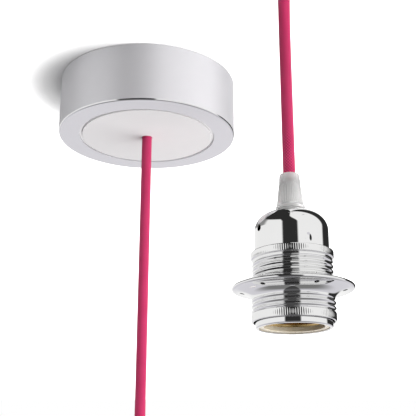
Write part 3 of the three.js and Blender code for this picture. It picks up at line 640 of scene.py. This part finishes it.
def barrel():
    profile = rounded(
        [
            (18.4, 17.6, 0.1),
            (18.4, 17.0, 0.1),
            (19.25, 17.0),
            (19.25, 14.2),
            (18.6, 13.8),
            (18.5, 13.4),
            (18, 13.4),
            (18, -12.9),
            (17.7, -14.1),
            (17.7, -18.4),
            (16.6, -18.4, 0.15),
            (16.6, -19, 0.25),
            (18.3, -19, 0.9),
            (18.3, -13.7, 0.3),
            (18.65, -12.9),
            (18.65, -4.6),
            *ramp(BARREL_THREAD_RADIUS, BARREL_THREAD[0], BARREL_THREAD[1]),
            (19.1, 13.4, 0.15),
            (18.95, 13.75, 0.2),
            (19.9, 14.15, 0.35),
            (19.9, 17.6, 0.6),
        ],
        0.2,
    )

    def shape(radius, height, angle):
        made = screw_thread(radius, height, angle, *BARREL_THREAD, BARREL_THREAD_RADIUS)
        return knurled(made, height, angle, *BARREL_KNURL)

    turned("barrel_shell", dense(profile, 1.5), ["barrel"], HOLDER, SIDES, shape)


RIM = (28.35, 0.95)
VENT_RADIUS = 1.2
VENT_AT = 24.4
VENT_FIRST = -70  # degrees
VENTS = 6
VENT_REACH = 6


def elliptic(centre, along, start, end, steps):
    angles = np.radians(np.linspace(start, end, steps + 1))
    return [(centre[0] + along[0] * math.cos(a), centre[1] + along[1] * math.sin(a), 0) for a in angles]


def shade_ring():
    rim, fold = RIM
    neck = -5.6
    flare = (rim - RING_THREAD_RADIUS, -neck - fold)
    inside = 18.95
    profile = rounded(
        [
            (19.1, -16.2, 0.15),
            (20.05, -16.2, 0.5),
            (20.05, -12.3, 0.3),
            *ramp(RING_THREAD_RADIUS, -11.75, neck),
            *elliptic((rim, neck), (-flare[0], flare[1]), 4, 88, 22),
            *elliptic((rim, 0), (fold, fold), -70, 88, 12),
            (23.2, 3.2, 1.2),
            (19.8, 3.2, 0.1),
            (19.8, 2.6, 0.1),
            (23.1, 2.6, 1),
            (rim - 0.1, fold - 0.6),
            (rim - 0.1, 0.6 - fold),
            *elliptic((rim, neck), (inside - rim, flare[1] + 0.6), 80, 6, 16),
            (inside, neck, 0),
            (inside, -11.6),
            (19.6, -12.2),
            (19.6, -15.7),
            (19.1, -15.7, 0.1),
        ],
        0.2,
    )

    def shape(radius, height, angle):
        made = screw_thread(radius, height, angle, *RING_THREAD, RING_THREAD_RADIUS)
        return knurled(made, height, angle, *RING_KNURL)

    ring = turned("shade_ring_shell", dense(profile, 1.2), ["shade_ring"], HOLDER, SIDES, shape)
    holes = []
    for i in range(VENTS):
        angle = math.radians(VENT_FIRST + 360 / VENTS * i)
        place = (HOLDER[0] + VENT_AT * MM * math.cos(angle), HOLDER[1] + VENT_AT * MM * math.sin(angle))
        start = (*place, HOLDER[2] - VENT_REACH * MM)
        holes.append((start, (0, 0, 1), 2 * VENT_REACH * MM, VENT_RADIUS * MM))
    drill(ring, holes)


DOME_RADIUS, DOME_BORE = 18, 17.4
DOME_SIDE = 17  # beyond it lies the upright wall
# The small dent: its place, half its width and height, and its depth
DIMPLE = (math.radians(-70), 20.6)
DIMPLE_HALF = (1.8, 2.8)
DIMPLE_DEPTH = 0.7
DIMPLE_INSIDE = 0.2  # the bore's share, which leaves the porcelain clear
SIDE_HOLE = (math.radians(-154), 28)
SIDE_HOLE_RADIUS = 1.6
SIDE_HOLE_FROM, SIDE_HOLE_REACH = 14, 8


def dome():
    shoulder = (10.5, 9.5)
    foot = (7.5, 28.2)
    profile = [
        (DOME_BORE, 15.1, 0),
        (DOME_RADIUS, 15.1, 0),
        *ramp(DOME_RADIUS, 15.6, 27.6, 0.3),
        *elliptic(foot, shoulder, 0, 88, 34),
        (6.5, 37.7, 0),
        (5.2, 37.7, 0),
        (5.2, 37.1, 0),
        (6.5, 37.1, 0),
        *elliptic(foot, (shoulder[0] - 0.6, shoulder[1] - 0.6), 88, 0, 24),
        *ramp(DOME_BORE, 27.6, 15.6, 0.3),
    ]
    profile = np.array([p[:2] for p in profile])

    def shape(radius, height, angle):
        turn = (angle - DIMPLE[0] + math.pi) % (2 * math.pi) - math.pi
        away = np.hypot(turn * DOME_RADIUS / DIMPLE_HALF[0], (height - DIMPLE[1]) / DIMPLE_HALF[1])
        dent = DIMPLE_DEPTH * np.clip(1 - away**2, 0, 1)
        inside = np.minimum(dent, DIMPLE_INSIDE)
        outer = radius > (DOME_RADIUS + DOME_BORE) / 2
        return radius - np.where(outer, dent, np.where(radius > DOME_SIDE, inside, 0))

    cap = turned("dome_shell", profile, ["dome_cap"], HOLDER, 400, shape)
    angle, height = SIDE_HOLE
    out = (math.cos(angle), math.sin(angle), 0)
    start = [middle + way * SIDE_HOLE_FROM * MM for middle, way in zip(HOLDER, out)]
    start[2] = HOLDER[2] + height * MM
    drill(cap, [(start, out, SIDE_HOLE_REACH * MM, SIDE_HOLE_RADIUS * MM)])


GRIP_RIBS = 44
GRIP_RIB_DEPTH = 0.16
GRIP_RIB_SPAN = (41.9, 52.1)
GRIP_OUTSIDE = 5.1  # the ribs are on the points beyond it


def cord_grip():
    profile = rounded(
        [
            (4.65, 39.4, 0.1),
            (6.9, 39.4, 0.4),
            (7.3, 40.6, 0.35),
            (6.62, 41.8, 0.2),
            (5.42, 52.2, 0.2),
            (5.3, 52.7, 0.2),
            (4.95, 57.7, 0.5),
            (CORD_HOLE, 57.7, 0.3),
            (CORD_HOLE, 55.0, 0.2),
            (4.65, 54.3, 0.2),
        ],
        0.2,
        5,
    )

    def shape(radius, height, angle):
        ends = np.clip(np.minimum(height - GRIP_RIB_SPAN[0], GRIP_RIB_SPAN[1] - height) / 0.5, 0, 1)
        rib = 0.5 + 0.5 * np.cos(GRIP_RIBS * angle)
        return radius - np.where(radius > GRIP_OUTSIDE, ends * GRIP_RIB_DEPTH * rib, 0)

    turned("cord_grip_body", profile, ["cord_grip"], HOLDER, GRIP_RIBS * 6, shape, step=0.9)


def grip_stem():
    profile = rounded(
        [
            (CORD_HOLE, 30),
            (4.9, 30, 0.3),
            (4.9, 37.8, 0.05),
            (6.9, 37.8, 0.25),
            (6.9, 39.3, 0.35),
            (4.35, 39.3, 0.1),
            (3.95, 54, 0.2),
            (CORD_HOLE, 54),
        ],
        0.15,
    )

    def shape(radius, height, angle):
        return screw_thread(radius, height, angle, 30.3, 37.2, 4.9, 0.22, 1.0)

    turned("grip_stem_body", profile, ["grip_stem"], HOLDER, 96, shape, step=0.25)


SOCKET_THREAD = (-15.4, 9.3)
SOCKET_RADIUS = 12.9
SOCKET_PITCH = 3.63
SOCKET_THREAD_DEPTH = 0.5
RIVET_AT = 9
RIVET_HOLE = 1.8
RIVET_FROM, RIVET_REACH = 8, 5  # the hole's lower end and its length


def socket_shell():
    profile = rounded(
        [
            (5.5, 10.3),
            (5.5, 10.8),
            (13.9, 10.8, 0.6),
            (13.9, -16, 0.15),
            (13.4, -16, 0.15),
            *ramp(SOCKET_RADIUS, SOCKET_THREAD[0], SOCKET_THREAD[1], 0.3),
            (12.9, 10.3, 0.5),
        ],
        0.15,
    )

    def shape(radius, height, angle):
        rolled = (SOCKET_THREAD_DEPTH, SOCKET_PITCH)
        return screw_thread(radius, height, angle, *SOCKET_THREAD, SOCKET_RADIUS, *rolled)

    shell = turned("socket_shell_body", dense(profile, 2), ["socket_shell"], HOLDER, 128, shape)
    low = HOLDER[2] + RIVET_FROM * MM
    holes = [
        ((HOLDER[0] + side * RIVET_AT * MM, HOLDER[1], low), (0, 0, 1), RIVET_REACH * MM, RIVET_HOLE * MM)
        for side in (-1, 1)
    ]
    drill(shell, holes)


def porcelain_parts():
    profile = rounded(
        [(14.2, -18.3, 0.5), (17.4, -18.3, 0.7), (17.4, -8, 0.4), (14.2, -8, 0.4)], 0.4, 5
    )
    turned("guard_ring_body", profile, ["guard_ring"], HOLDER, 128, step=2)
    bevelled("porcelain_body_piece", "porcelain_body", 0.35, 3)


barrel()
shade_ring()
dome()
cord_grip()
grip_stem()
socket_shell()
porcelain_parts()

# Cord: its braid is modelled where the camera sees it close, and shaded everywhere
CORD_SIDES = 48
FINE_STEP = 0.27 * MM
COARSE_STEP = 1.6 * MM
SEEN = [(10 * MM, 196 * MM), (cord_length - 124 * MM, cord_length - 24 * MM)]
FADE = 6 * MM
RELIEF = 0.22 * MM


def braid_height(around, along):
    """How high the braid stands, from 0 to 1, at a place round the cord and a length along it."""
    one_way = around * BRAID_STRANDS + along / BRAID_PITCH
    other_way = around * BRAID_STRANDS - along / BRAID_PITCH
    upper = (np.floor(one_way) + np.floor(other_way)) % 2
    humps = [np.sin(math.pi * (way % 1)) for way in (one_way, other_way)]
    return np.where(upper > 0.5, humps[1], humps[0])


def cord_stations():
    """Lengths along the cord of its rings, closer together where it is seen."""
    out = [0.0]
    while out[-1] < cord_length:
        fine = any(low <= out[-1] <= high for low, high in SEEN)
        out.append(out[-1] + (FINE_STEP if fine else COARSE_STEP))
    out[-1] = cord_length
    return np.array(out)


def carried_frames(points):
    """Two directions across the line at each point, carried along it without twist."""
    tangents = np.gradient(points, axis=0)
    tangents /= np.linalg.norm(tangents, axis=1)[:, None]
    side = np.array([1.0, 0, 0])
    sides = []
    for tangent in tangents:
        side = side - tangent * (side @ tangent)
        side /= np.linalg.norm(side)
        sides.append(side)
    sides = np.array(sides)
    return sides, np.cross(tangents, sides)


def make_cord():
    stations = cord_stations()
    points = np.stack([np.interp(stations, route_lengths, route[:, k]) for k in range(3)], axis=1)
    across, up = carried_frames(points)
    around = np.arange(CORD_SIDES) / CORD_SIDES
    seen = np.zeros(len(stations))
    for low, high in SEEN:
        seen = np.maximum(seen, np.clip(np.minimum(stations - low, high - stations) / FADE, 0, 1))
    height = braid_height(around[None, :], stations[:, None])
    radius = CORD_RADIUS - RELIEF * (1 - height) * seen[:, None]
    angle = 2 * math.pi * around[None, :, None]
    rings = points[:, None, :] + radius[:, :, None] * (
        np.cos(angle) * across[:, None, :] + np.sin(angle) * up[:, None, :]
    )
    faces, corners = grid_faces(len(stations), CORD_SIDES, False)
    uvs = [(j / CORD_SIDES, stations[i]) for i, j in corners]
    last = (len(stations) - 1) * CORD_SIDES
    caps = [list(range(CORD_SIDES))[::-1], [last + j for j in range(CORD_SIDES)]]
    uvs += [(j / CORD_SIDES, 0.0) for j in range(CORD_SIDES)] * len(caps)
    cord = new_piece(
        "cord", rings.reshape(-1, 3), faces + caps, uvs, ["cord_drop", "cord_coil", "cord_riser"]
    )
    cord.visible_glossy = False
    return cord


cord = make_cord()

# Ties round the coil: a flat strap with rounded edges, wrapped round the turns
TIE_ANGLES = (75, 330)
TIE_WIDTH = 6
TIE_THICKNESS = 0.9
TIE_INSIDE = (3.35 + 0.3, 12.85 + 0.3)  # half the turns' section, and the gap round it
TIE_BEND = 2.2
TIE_EDGE = 0.3
TIE_STEPS = 8  # in each bend


def tie(index, angle):
    node = f"coil_tie_{index}"
    inside_r, inside_y = TIE_INSIDE
    line, outward = [], []
    for corner, (sx, sy) in enumerate([(1, 1), (-1, 1), (-1, -1), (1, -1)]):
        for k in range(TIE_STEPS + 1):
            a = math.radians(90 * corner + 90 * k / TIE_STEPS)
            d = np.array([math.cos(a), math.sin(a)])
            line.append(np.array([sx * (inside_r - TIE_BEND), sy * (inside_y - TIE_BEND)]) + TIE_BEND * d)
            outward.append(d)
    line, outward = np.array(line), np.array(outward)
    half, edge = TIE_WIDTH / 2, TIE_EDGE
    section = [
        (0, -half + edge), (edge, -half), (TIE_THICKNESS - edge, -half), (TIE_THICKNESS, -half + edge),
        (TIE_THICKNESS, half - edge), (TIE_THICKNESS - edge, half), (edge, half), (0, half - edge),
    ]
    turn = math.radians(angle)
    middle = np.array(
        [COIL_RADIUS + COIL_RADIUS * math.cos(turn), 0, -COIL_DEPTH + COIL_RADIUS * math.sin(turn)]
    )
    middle[1] = (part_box("cord_coil")[0][1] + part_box("cord_coil")[1][1]) / 2
    radial = np.array([math.cos(turn), 0, math.sin(turn)])
    tangent = np.array([-math.sin(turn), 0, math.cos(turn)])
    vertices = []
    for (r, y), (dr, dy) in zip(line, outward):
        for thick, wide in section:
            local_r, local_y = r + dr * thick, y + dy * thick
            place = middle + MM * (local_r * radial + wide * tangent) + np.array([0, local_y * MM, 0])
            vertices.append(place)
    faces, corners = grid_faces(len(line), len(section), True)
    uvs = [(j / len(section), i / len(line)) for i, j in corners]
    strap = new_piece(f"tie_strap_{index}", vertices, faces, uvs, [node])
    recalculate(strap)
    weigh_normals(strap)


def recalculate(piece):
    made = bmesh.new()
    made.from_mesh(piece.data)
    bmesh.ops.recalc_face_normals(made, faces=made.faces)
    made.to_mesh(piece.data)
    made.free()


for number, tie_angle in enumerate(TIE_ANGLES, 1):
    tie(number, tie_angle)

for node in ("ceiling_clip_far", "ceiling_clip_near"):
    bevelled(node + "_saddle", node, 0.35, 3)


# Ceiling: a pale plane above the rose, seen only from below. Away from the rose it glows for the camera, up
# to plain white, and close to it the shadow stays.
CEILING_HALF = 2.5
CEILING_GAP = 0.4 * MM
CEILING_GLOW = 0
CEILING_SHADE = (-16 * MM, 8 * MM, 0)  # the middle of the ceiling that shows the rose's shadow
CEILING_FADE = (50 * MM, 80 * MM)  # how far from there it turns plain white


def ceiling():
    size = CEILING_HALF
    mesh = bpy.data.meshes.new("ceiling")
    corners = [(-size, -size, 0), (-size, size, 0), (size, size, 0), (size, -size, 0)]
    mesh.from_pydata(corners, [], [(0, 1, 2, 3)])
    made, tree, shader = node_tree("ceiling_paint")
    shader.inputs["Base Color"].default_value = (0.96, 0.96, 0.96, 1)
    shader.inputs["Roughness"].default_value = 0.9
    shader.inputs["Specular IOR Level"].default_value = 0.1
    path = tree.nodes.new("ShaderNodeLightPath")
    glow = tree.nodes.new("ShaderNodeEmission")
    glow.inputs["Color"].default_value = (1, 1, 1, 1)
    place = tree.nodes.new("ShaderNodeTexCoord")
    away = tree.nodes.new("ShaderNodeVectorMath")
    away.operation = "DISTANCE"
    tree.links.new(place.outputs["Object"], away.inputs[0])
    away.inputs[1].default_value = CEILING_SHADE
    level = span(tree, away.outputs["Value"], *CEILING_FADE, CEILING_GLOW, 1.0)
    tree.links.new(math_node(tree, "MULTIPLY", path.outputs["Is Camera Ray"], level), glow.inputs["Strength"])
    lit = tree.nodes.new("ShaderNodeAddShader")
    tree.links.new(shader.outputs[0], lit.inputs[0])
    tree.links.new(glow.outputs[0], lit.inputs[1])
    clear = tree.nodes.new("ShaderNodeBsdfTransparent")
    side = tree.nodes.new("ShaderNodeNewGeometry")
    either = tree.nodes.new("ShaderNodeMixShader")
    tree.links.new(side.outputs["Backfacing"], either.inputs[0])
    tree.links.new(lit.outputs[0], either.inputs[1])
    tree.links.new(clear.outputs[0], either.inputs[2])
    tree.links.new(either.outputs[0], tree.nodes["Material Output"].inputs[0])
    mesh.materials.append(made)
    plane = bpy.data.objects.new("ceiling", mesh)
    plane.location = (0, 0, CEILING_GAP)
    plane.visible_glossy = False
    bpy.context.scene.collection.objects.link(plane)


ceiling()

# Studio: plain white behind everything, walls with dark parts that polished metal shows, and a soft light on
# the rest that grows from left to right. Bearings and rises are in degrees.
ROOM_DARK = 0.03
ROOM_LEFT, ROOM_RIGHT = 0, 0.8
ROOM_BELOW = (0.74, 0.73, 0.78)
ROOM_FLOOR = 0.22
ROOM_BACK_LEFT = 0.3
FRONT_BAND = (-33, 14, 3)  # bearings from and to, and half the soft edge
RIGHT_BAND = (104, 157, 4)
HIGH_LEFT_BAND = (-200, -16, 8)
BACK_LEFT_BAND = (-200, -95, 10)
FLOOR_BAND = (-150, 150, 8)


def studio():
    world = bpy.data.worlds.new("studio")
    bpy.context.scene.world = world
    world.use_nodes = True
    tree = world.node_tree
    tree.nodes.clear()
    out = tree.nodes.new("ShaderNodeOutputWorld")
    light = tree.nodes.new("ShaderNodeBackground")
    tree.links.new(light.outputs[0], out.inputs[0])
    place = tree.nodes.new("ShaderNodeTexCoord")
    parts = tree.nodes.new("ShaderNodeSeparateXYZ")
    tree.links.new(place.outputs["Generated"], parts.inputs[0])
    x, y, z = parts.outputs
    bearing = math_node(tree, "DEGREES", math_node(tree, "ARCTAN2", x, math_node(tree, "MULTIPLY", y, -1.0)))
    rise = math_node(tree, "DEGREES", math_node(tree, "ARCSINE", z))

    def within(value, low, high, soft):
        rising = span(tree, value, low - soft, low + soft)
        falling = span(tree, value, high - soft, high + soft, 1.0, 0.0)
        return math_node(tree, "MULTIPLY", rising, falling)

    leaning = math_node(tree, "ADD", bearing, span(tree, rise, 18, 60, 0.0, 24.0))
    front = within(leaning, *FRONT_BAND)
    right = within(bearing, *RIGHT_BAND)
    edge = math_node(tree, "MULTIPLY_ADD", bearing, 0.12, rise)
    high_left = math_node(tree, "MULTIPLY", within(bearing, *HIGH_LEFT_BAND), span(tree, edge, 26, 31))
    dark = math_node(tree, "MAXIMUM", front, math_node(tree, "MAXIMUM", right, high_left))
    upright = span(tree, rise, -16, -8)
    dark = math_node(tree, "MULTIPLY", dark, upright)
    dark = math_node(tree, "MAXIMUM", dark, math_node(tree, "MULTIPLY", front, 0.85))
    walls = mix_colour(tree, upright, ROOM_BELOW, (1.0, 1.0, 1.0))
    floor = math_node(tree, "MULTIPLY", span(tree, rise, -60, -24, 1.0, 0.0), within(bearing, *FLOOR_BAND))
    walls = mix_colour(tree, floor, walls, (ROOM_FLOOR,) * 3)
    back_left = math_node(tree, "MULTIPLY", span(tree, rise, 17, 21), within(bearing, *BACK_LEFT_BAND))
    walls = mix_colour(tree, back_left, walls, (ROOM_BACK_LEFT,) * 3)
    shown = mix_colour(tree, dark, walls, (ROOM_DARK,) * 3)
    path = tree.nodes.new("ShaderNodeLightPath")
    soft = span(tree, x, -1, 1, ROOM_LEFT, ROOM_RIGHT, smooth=False)
    plain = mix_colour(tree, path.outputs["Is Glossy Ray"], soft, shown)
    straight = math_node(tree, "MAXIMUM", path.outputs["Is Camera Ray"], path.outputs["Is Transmission Ray"])
    tree.links.new(mix_colour(tree, straight, plain, (1.0, 1.0, 1.0)), light.inputs["Color"])


def sun(name, toward, strength, spread):
    data = bpy.data.lights.new(name, "SUN")
    data.energy = strength
    data.angle = math.radians(spread)
    made = bpy.data.objects.new(name, data)
    made.rotation_euler = Vector(toward).to_track_quat("-Z", "Y").to_euler()
    made.visible_glossy = False
    bpy.context.scene.collection.objects.link(made)


studio()
sun("from_below", (-0.36, 0.05, 0.93), 2.1, 42)
sun("from_the_right", (-0.95, 0.31, 0), 2.6, 14)
sun("from_the_front", (-0.36, 0.93, 0), 0.3, 10)

bpy.context.scene.view_settings.view_transform = "Standard"
